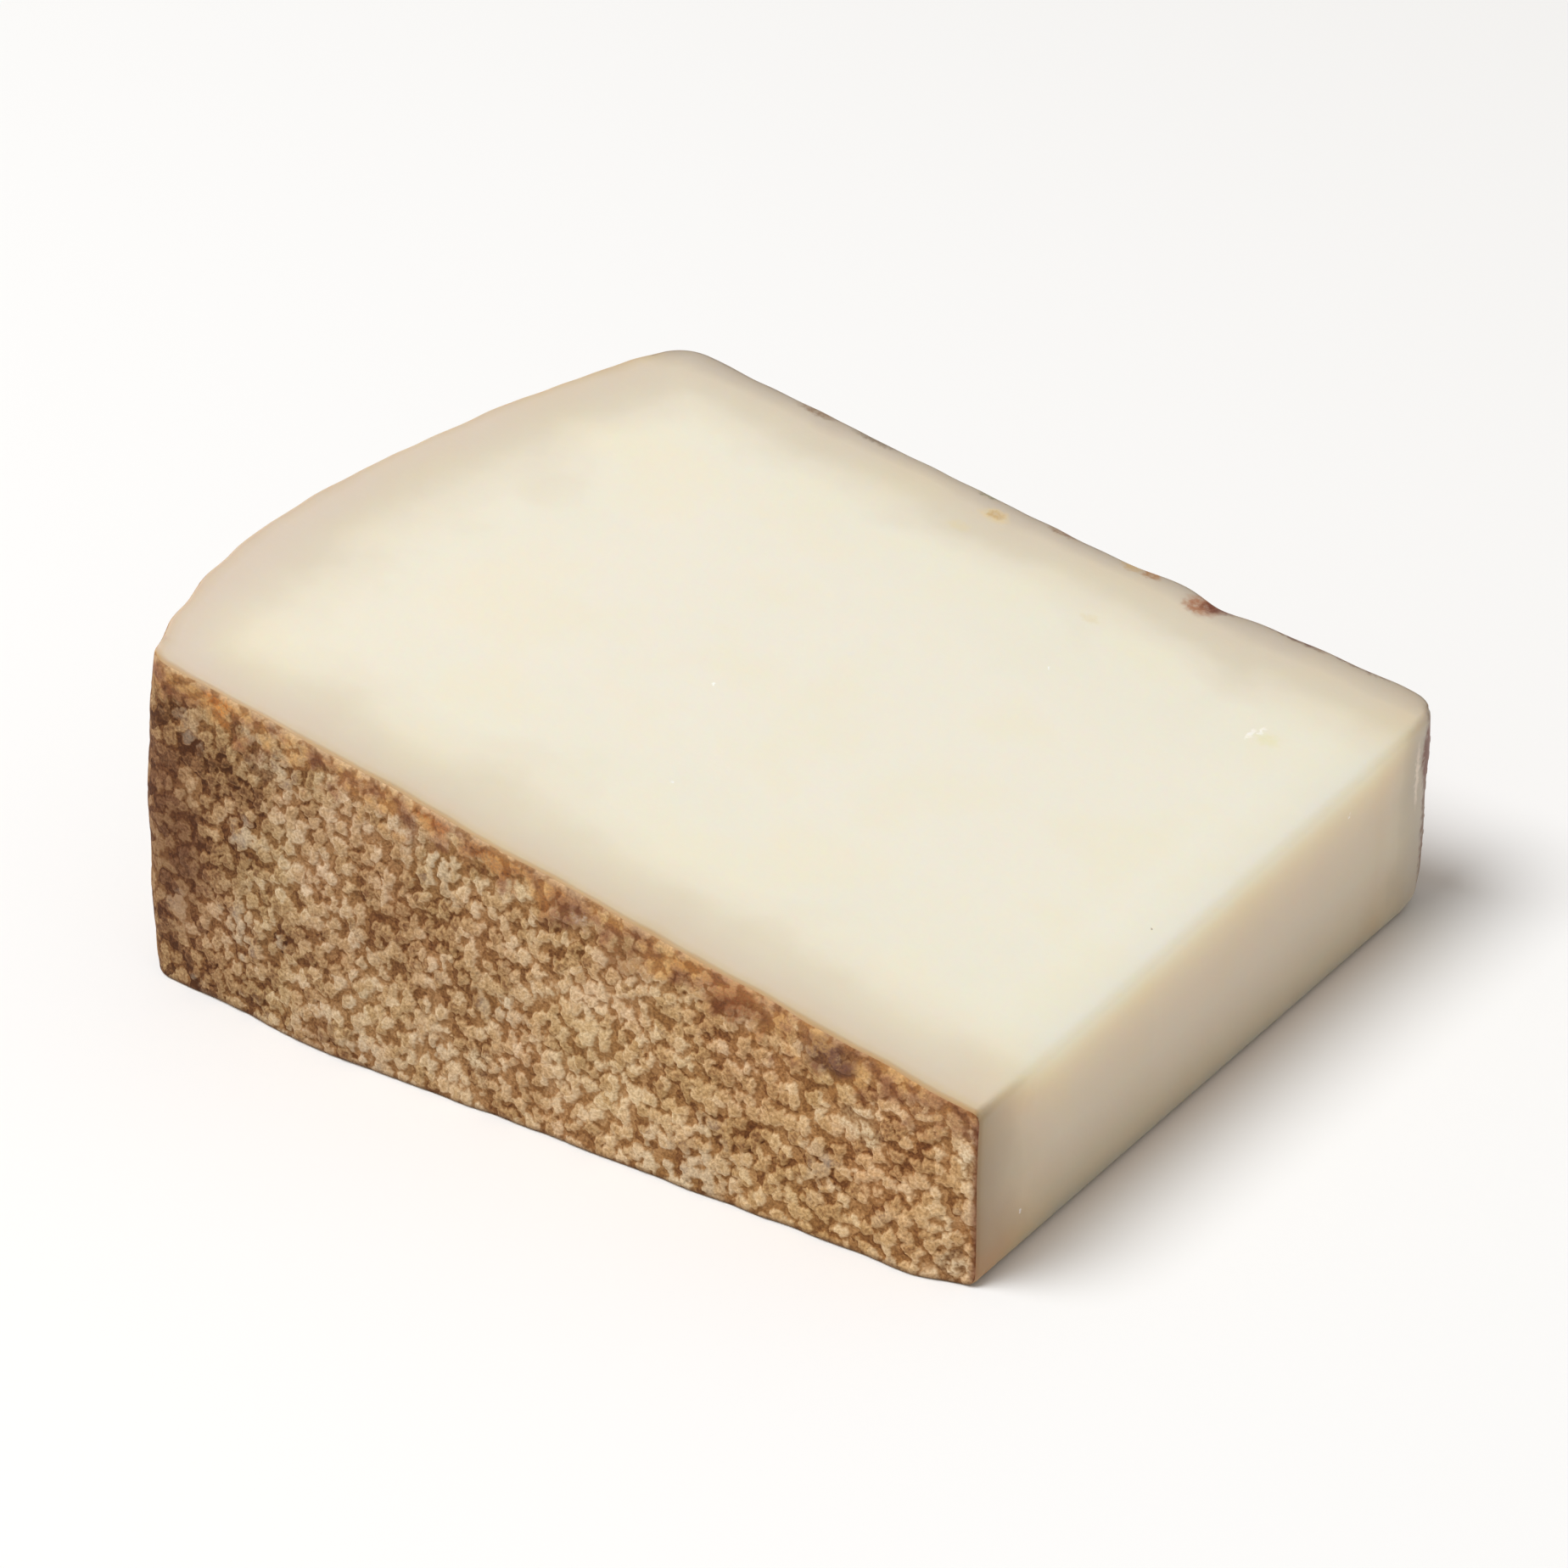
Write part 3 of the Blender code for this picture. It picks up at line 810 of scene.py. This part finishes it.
def natural_rind():
    """Natural rind of a mountain cheese, washed, brushed and dried in the cellar.

    Dry and dull: light crusty grains on a darker, leathery brown, smeared smooth and
    a little greasy where the knife went through, with spots of grey and orange mould.
    """
    material, tree = bare_material("Natural rind, washed and cellar dried")
    place = add(tree, "ShaderNodeAttribute", attribute_name="bare_place").outputs["Vector"]
    unrolled = add(tree, "ShaderNodeAttribute", attribute_name="unrolled").outputs["Vector"]
    below_cut = add(tree, "ShaderNodeAttribute", attribute_name="below_cut").outputs["Fac"]
    x, _, z = add(tree, "ShaderNodeSeparateXYZ", [place]).outputs
    height, cell, inside = grain_pattern(tree, place, unrolled)
    meal = add(tree, "ShaderNodeTexNoise", {"Vector": place, "Scale": MEAL_WAVES, "Detail": 3.0})
    ragged = add(tree, "ShaderNodeTexNoise", {"Vector": place, "Scale": TEAR_WAVES, "Detail": 4.0})
    torn = push_about(tree, place, ragged, RIND_TEAR)
    colour, grain = grain_colours(tree, place, x, cell, inside, meal)

    # Mould has dusted some of the grains.
    spores = add(tree, "ShaderNodeTexNoise", {"Vector": torn, "Scale": SPORE_WAVES, "Detail": 6.0})
    dusting = add(tree, "ShaderNodeMapRange", [spores, *DUSTING])
    dusted = add(tree, "ShaderNodeMath", [dusting, grain], operation="MULTIPLY")
    colour = add(tree, "ShaderNodeMix", [dusted, colour, linear(MOULD_DUST)], **COVER)

    # Under the upper cut the rind is smoother, in patches reddish brown and orange.
    blotch = add(tree, "ShaderNodeTexNoise", {"Vector": place, "Scale": BLOTCH_WAVES, "Detail": 5.0})
    wax = colour_by(tree, blotch, WAX_TONES)
    edge = [ragged, WAX_RAGGEDNESS, below_cut]
    wax_edge = add(tree, "ShaderNodeMath", edge, operation="MULTIPLY_ADD")
    waxy = add(tree, "ShaderNodeMapRange", [wax_edge, *SMEAR], **SOFT)
    cover = add(tree, "ShaderNodeMath", [waxy, WAX_COVER], operation="MULTIPLY")
    colour = add(tree, "ShaderNodeMix", [cover, colour, wax], **COVER)

    patchy = add(tree, "ShaderNodeMapRange", [meal, *RIND_HOLD])
    for spot in RIND_SPOTS:
        colour = stain(tree, colour, torn, spot, patchy)

    # Thin lines at its edges: tan fat under the knife's cut, red brown at the nose, and at
    # the floor a dark line of painted contact shadow.
    from_nose = add(tree, "ShaderNodeMath", [NOSE_X, x], operation="SUBTRACT")
    heelmost = add(tree, "ShaderNodeMapRange", [x, *CUT_LINE_WAY])
    for distance, width, tint, strength in (
        (below_cut, CUT_LINE_WIDTH, CUT_LINE, heelmost),
        (from_nose, NOSE_LINE_WIDTH, NOSE_LINE, EDGE_LINE_STRENGTH),
        (z, FLOOR_CONTACT_SHADOW_WIDTH, FLOOR_CONTACT_SHADOW, EDGE_LINE_STRENGTH),
    ):
        line = add(tree, "ShaderNodeMapRange", [distance, *width, 0.0, strength])
        colour = add(tree, "ShaderNodeMix", [line, colour, linear(tint)], **COVER)

    # Painted shade in the gaps between the grains, a brown darkening whatever colour the rind has
    # there, and specks all over.
    crevice_shade = add(tree, "ShaderNodeMix", [height, linear(CREVICE_SHADE_TINT), linear("#FFFFFF")], **COVER)
    colour = add(tree, "ShaderNodeMix", [1.0, colour, crevice_shade], **TINT)
    speck = add(tree, "ShaderNodeMapRange", [meal, *SPECKS])
    speckled = {"Vector": colour, "Scale": speck}
    colour = add(tree, "ShaderNodeVectorMath", speckled, operation="SCALE")

    mealy = {"Height": meal, "Distance": MEAL_DEPTH * MM, "Strength": MEAL_STRENGTH}
    gloss = [waxy, 0.0, 1.0, DRY_ROUGHNESS, WAXY_ROUGHNESS]
    finish = {
        "Base Color": colour,
        "Roughness": add(tree, "ShaderNodeMapRange", gloss),
        "IOR": FAT_IOR,
        "Specular IOR Level": RIND_SHINE,
        "Normal": add(tree, "ShaderNodeBump", mealy),
    }
    shader = add(tree, "ShaderNodeBsdfPrincipled", finish)
    add(tree, "ShaderNodeOutputMaterial", {"Surface": shader})
    return material


def pinker_heel(tree, colour, uneven, x, y):
    """Makes the margin of the paste along the heel a little pinker."""
    at_heel = add(tree, "ShaderNodeMapRange", [x, *HEELWARDS])
    off_back = add(tree, "ShaderNodeMapRange", [y, *OFF_BACK_AT_HEEL])
    margin = add(tree, "ShaderNodeMapRange", [uneven, *HEEL_MARGIN])
    heel_margin = add(tree, "ShaderNodeMath", [at_heel, margin], operation="MULTIPLY")
    pinker = add(tree, "ShaderNodeMath", [heel_margin, off_back], operation="MULTIPLY")
    return add(tree, "ShaderNodeMix", [pinker, colour, linear(HEEL_PINK)], **COVER)


def paste_edges(tree, colour, uneven, y, on_nose):
    """Ends the paste in a brown line, and at the back and the nose in a greyer crust."""
    at_front = add(tree, "ShaderNodeMapRange", [y, *FRONT_LINE_PLACE])
    line = add(tree, "ShaderNodeMapRange", [uneven, *FRONT_LINE_WIDTH, 0.0, at_front])
    colour = add(tree, "ShaderNodeMix", [line, colour, linear(FRONT_LINE)], **COVER)

    at_back = add(tree, "ShaderNodeMapRange", [y, *AT_BACK])
    either = add(tree, "ShaderNodeMath", [at_back, on_nose], operation="MAXIMUM")
    strength = add(tree, "ShaderNodeMath", [either, CRUST_STRENGTH], operation="MULTIPLY")
    reach = add(tree, "ShaderNodeMapRange", [on_nose, *CRUST_REACH])
    greyer = add(tree, "ShaderNodeMapRange", [uneven, reach, CRUST_CORE, 0.0, strength])
    crusts = [at_back, linear(NOSE_CRUST), linear(BACK_CRUST)]
    crust = add(tree, "ShaderNodeMix", crusts, **COVER)
    colour = add(tree, "ShaderNodeMix", [greyer, colour, crust], **COVER)

    edge = add(tree, "ShaderNodeMapRange", [uneven, *BACK_LINE_WIDTH])
    back_line = add(tree, "ShaderNodeMath", [edge, at_back], operation="MULTIPLY")
    return add(tree, "ShaderNodeMix", [back_line, colour, linear(BACK_LINE)], **COVER)


def paint_nose_shade(tree, colour, place, on_nose):
    """Paints shade onto the nose: a little darker and browner, most of all at its foot, where it
    ends in a painted contact shadow.
    """
    x, y, z = add(tree, "ShaderNodeSeparateXYZ", [place]).outputs
    below_cut = add(tree, "ShaderNodeAttribute", attribute_name="below_cut").outputs["Fac"]
    near_nose = add(tree, "ShaderNodeMapRange", [x, *NEAR_NOSE])
    colour = add(tree, "ShaderNodeMix", [near_nose, colour, linear(NEAR_NOSE_TINT)], **TINT)

    # Painted shade on the nose, lighter under its top edge and darker and browner towards its foot.
    upper = colour_by(tree, below_cut, NOSE_TOP_PAINTED_SHADE)
    lower = colour_by(tree, z, NOSE_FOOT_PAINTED_SHADE)
    at_foot = add(tree, "ShaderNodeMapRange", [z, *NOSE_FOOT])
    dried = add(tree, "ShaderNodeMix", [at_foot, upper, lower], **COVER)
    off_back = add(tree, "ShaderNodeMapRange", [y, *OFF_BACK_AT_NOSE])
    share = add(tree, "ShaderNodeMath", [on_nose, off_back], operation="MULTIPLY")
    colour = add(tree, "ShaderNodeMix", [share, colour, dried], **TINT)

    # Painted contact shadow along the nose's foot.
    foot = add(tree, "ShaderNodeMapRange", [z, *FOOT_CONTACT_SHADOW_WIDTH])
    return add(tree, "ShaderNodeMix", [foot, colour, linear(FOOT_CONTACT_SHADOW)], **COVER)


def cut_paste():
    """Pressed and ripened milk paste, cut with a wire.

    Dense, ivory and a little greasy. Light goes some millimetres into it. It darkens
    and dries towards the rind, where it ends in a thin brown line.
    """
    material, tree = bare_material("Ripened cheese paste, wire cut")
    place = add(tree, "ShaderNodeAttribute", attribute_name="bare_place").outputs["Vector"]
    depth = add(tree, "ShaderNodeAttribute", attribute_name="depth").outputs["Fac"]
    x, y, _ = add(tree, "ShaderNodeSeparateXYZ", [place]).outputs
    cloud = add(tree, "ShaderNodeTexNoise", {"Vector": place, "Scale": CLOUD_WAVES, "Detail": 3.0})
    width = add(tree, "ShaderNodeMapRange", [cloud, *MARGIN_WIDTHS])
    uneven = add(tree, "ShaderNodeMath", [depth, width], operation="MULTIPLY")
    on_nose = add(tree, "ShaderNodeMapRange", [x, *ON_NOSE])

    colour = colour_by(tree, uneven, PASTE_BY_DEPTH)
    rear = add(tree, "ShaderNodeMapRange", [y, *REARWARDS])
    shade = colour_by(tree, uneven, REAR_TINTS)
    colour = add(tree, "ShaderNodeMix", [rear, colour, shade], **TINT)
    creamy = add(tree, "ShaderNodeMapRange", [cloud, *CREAMINESS])
    colour = add(tree, "ShaderNodeMix", [creamy, colour, linear(CREAMY_TINT)], **TINT)
    colour = pinker_heel(tree, colour, uneven, x, y)
    colour = paste_edges(tree, colour, uneven, y, on_nose)
    colour = paint_nose_shade(tree, colour, place, on_nose)

    pores = add(tree, "ShaderNodeTexNoise", {"Vector": place, "Scale": PORE_WAVES, "Detail": 4.0})
    torn = push_about(tree, place, pores, PASTE_TEAR)
    patchy = add(tree, "ShaderNodeMapRange", [pores, *PASTE_HOLD])
    for spot in PASTE_SPOTS:
        colour = stain(tree, colour, torn, spot, patchy)

    # No light comes in through the rind, so the glow ends short of it.
    porous = {"Height": pores, "Distance": PORE_DEPTH * MM, "Strength": PORE_STRENGTH}
    finish = {
        "Base Color": colour,
        "Roughness": PASTE_ROUGHNESS,
        "IOR": FAT_IOR,
        "Subsurface Weight": 1.0,
        "Subsurface Radius": GLOW_BY_COLOUR,
        "Subsurface Scale": add(tree, "ShaderNodeMapRange", [depth, *GLOW]),
        "Normal": add(tree, "ShaderNodeBump", porous),
    }
    shader = add(tree, "ShaderNodeBsdfPrincipled", finish)
    add(tree, "ShaderNodeOutputMaterial", {"Surface": shader})
    return material


# ------------------------------------------------------------------------- the wedge


def grain_share(place, below_cut, unrolled):
    """The share of their height that the grains have, near the edges and where worn."""
    share = SMEARED_SHARE * smoothstep(*FROM_CUT, below_cut)
    share += (1 - SMEARED_SHARE) * smoothstep(*FROM_SMEAR, below_cut)
    share *= smoothstep(*FROM_FLOOR, place[:, 2])
    share *= smoothstep(*FROM_NOSE, NOSE_X - place[:, 0])
    worn = bump(unrolled[:, 0], SHOULDER_WEAR_PLACE, SHOULDER_WEAR_WIDTH)
    return share * (1 - SHOULDER_WEAR * worn)


def cheese_wedge():
    """The whole wedge, with its two finishes."""
    shape = straight_prism()
    mesh = bpy.data.meshes.new("Cheese_wedge")
    shape.to_mesh(mesh)
    shape.free()
    corners = np.empty(len(mesh.vertices) * 3)
    mesh.vertices.foreach_get("co", corners)
    place, depth, below_cut, unrolled = form_wedge(corners.reshape(-1, 3))
    mesh.vertices.foreach_set("co", (place * MM).ravel())

    on_rind = depth < RIND_DEPTH
    grains_left = on_rind * grain_share(place, below_cut, unrolled)
    for name, values in (("depth", depth), ("below_cut", below_cut), ("rind", grains_left)):
        mesh.attributes.new(name, "FLOAT", "POINT").data.foreach_set("value", values)
    for name, vectors in (("bare_place", place), ("unrolled", unrolled)):
        attribute = mesh.attributes.new(name, "FLOAT_VECTOR", "POINT")
        attribute.data.foreach_set("vector", vectors.ravel())

    mesh.materials.append(natural_rind())
    mesh.materials.append(cut_paste())
    for face in mesh.polygons:
        face.material_index = 0 if all(on_rind[v] for v in face.vertices) else 1
    mesh.shade_smooth()

    wedge = bpy.data.objects.new("Cheese_wedge", mesh)
    bpy.context.scene.collection.objects.link(wedge)
    grains = wedge.modifiers.new("Grains of the rind", "NODES")
    grains.node_group = grain_relief()
    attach(wedge, "root")
    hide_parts("cheese_wedge")


# --------------------------------------------------------------------------- staging


def floor():
    """A plain pale floor, of matt paper that gives no glint."""
    shape = bmesh.new()
    bmesh.ops.create_grid(shape, size=PAPER_REACH)
    mesh = bpy.data.meshes.new("Floor")
    shape.to_mesh(mesh)
    shape.free()
    material, tree = bare_material("Pale studio paper")
    finish = {"Base Color": linear(PAPER_COLOUR), "Roughness": PAPER_ROUGHNESS}
    shader = add(tree, "ShaderNodeBsdfPrincipled", finish)
    add(tree, "ShaderNodeOutputMaterial", {"Surface": shader})
    mesh.materials.append(material)
    ground = bpy.data.objects.new("Floor", mesh)
    bpy.context.scene.collection.objects.link(ground)


def lights():
    """A large soft lamp above the front left, and an even white room."""
    lamp = bpy.data.lights.new("Softbox", "AREA")
    lamp.shape = "DISK"
    lamp.size = KEY_SIZE
    lamp.energy = KEY_POWER
    lamp.color = linear(KEY_COLOUR)[:3]
    softbox = bpy.data.objects.new("Softbox", lamp)
    softbox.location = KEY_WAY.normalized() * KEY_DISTANCE
    softbox.rotation_euler = KEY_WAY.to_track_quat("Z", "Y").to_euler()
    bpy.context.scene.collection.objects.link(softbox)

    world = bpy.data.worlds.new("White room")
    world.use_nodes = True
    background = world.node_tree.nodes["Background"]
    background.inputs["Color"].default_value = linear(ROOM_COLOUR)
    background.inputs["Strength"].default_value = ROOM_LIGHT
    bpy.context.scene.world = world
    bpy.context.scene.view_settings.view_transform = "Standard"


def camera():
    """The camera, with the photograph's lens."""
    lens = bpy.data.cameras.new("Camera")
    lens.sensor_width = SENSOR
    lens.lens = FOCAL_PIXELS / PICTURE_SIDE * SENSOR
    lens.clip_start = CLIP_START
    viewer = bpy.data.objects.new("Camera", lens)
    aim = Euler((math.pi / 2 - CAMERA_ELEVATION, 0, CAMERA_AZIMUTH)).to_matrix()
    aim = aim @ Matrix.Rotation(CAMERA_ROLL, 3, "Z")
    viewer.matrix_world = Matrix.Translation(CAMERA_PLACE * MM) @ aim.to_4x4()
    bpy.context.scene.collection.objects.link(viewer)
    bpy.context.scene.camera = viewer


cheese_wedge()
floor()
lights()
camera()
